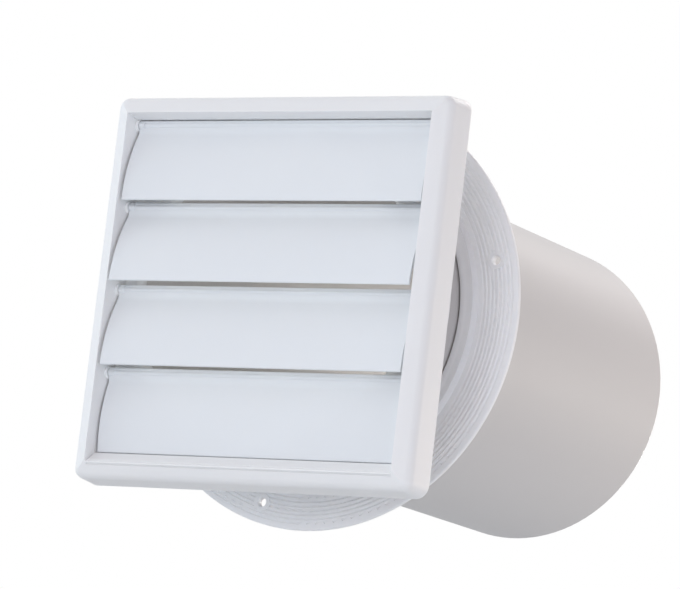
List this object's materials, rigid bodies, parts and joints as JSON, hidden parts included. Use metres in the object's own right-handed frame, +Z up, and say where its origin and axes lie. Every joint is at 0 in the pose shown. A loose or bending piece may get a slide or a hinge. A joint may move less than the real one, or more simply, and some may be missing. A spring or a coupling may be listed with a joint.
{
  "type": "air conditioner exhaust vent",
  "caption": "Through-wall exhaust vent: square louvre grille with gravity blades on a round duct, with a grooved wall flange that slides on the duct.",
  "frame": {"origin": "centre of the grille frame's wall plane, on the duct's axis", "axes": "+X to the right seen from the front of the grille, +Y into the wall along the duct, +Z up; the grille faces -Y"},
  "size_m": [0.212, 0.275, 0.212],
  "materials": {
    "frame_plastic": "white moulded plastic, satin gloss",
    "blade_plastic": "white moulded plastic with a faint cool cast, satin gloss",
    "flange_plastic": "white moulded plastic, satin gloss",
    "duct_plastic": "smooth off-white extruded plastic, matt"
  },
  "bodies": {
    "grille_and_duct": {"grille_frame": "frame_plastic", "duct_tube": "duct_plastic"},
    "blade_1": {"louvre_blade_1": "blade_plastic"},
    "blade_2": {"louvre_blade_2": "blade_plastic"},
    "blade_3": {"louvre_blade_3": "blade_plastic"},
    "blade_4": {"louvre_blade_4": "blade_plastic"},
    "flange": {"wall_flange": "flange_plastic"}
  },
  "joints": [
    {"name": "blade_1_hinge", "type": "hinge", "parent": "grille_and_duct", "child": "blade_1", "pos_m": [0, -0.009, 0.0808], "axis": [-1, 0, 0], "range_deg": [-7.5, 70]},
    {"name": "blade_2_hinge", "type": "hinge", "parent": "grille_and_duct", "child": "blade_2", "pos_m": [0, -0.009, 0.04018], "axis": [-1, 0, 0], "range_deg": [-11, 66.5]},
    {"name": "blade_3_hinge", "type": "hinge", "parent": "grille_and_duct", "child": "blade_3", "pos_m": [0, -0.009, -0.00045], "axis": [-1, 0, 0], "range_deg": [-9, 68.5]},
    {"name": "blade_4_hinge", "type": "hinge", "parent": "grille_and_duct", "child": "blade_4", "pos_m": [0, -0.009, -0.04108], "axis": [-1, 0, 0], "range_deg": [-3, 79.5]},
    {"name": "flange_slide", "type": "slide", "parent": "grille_and_duct", "child": "flange", "axis": [0, 1, 0], "range_m": [-0.01, 0.19]}
  ]
}
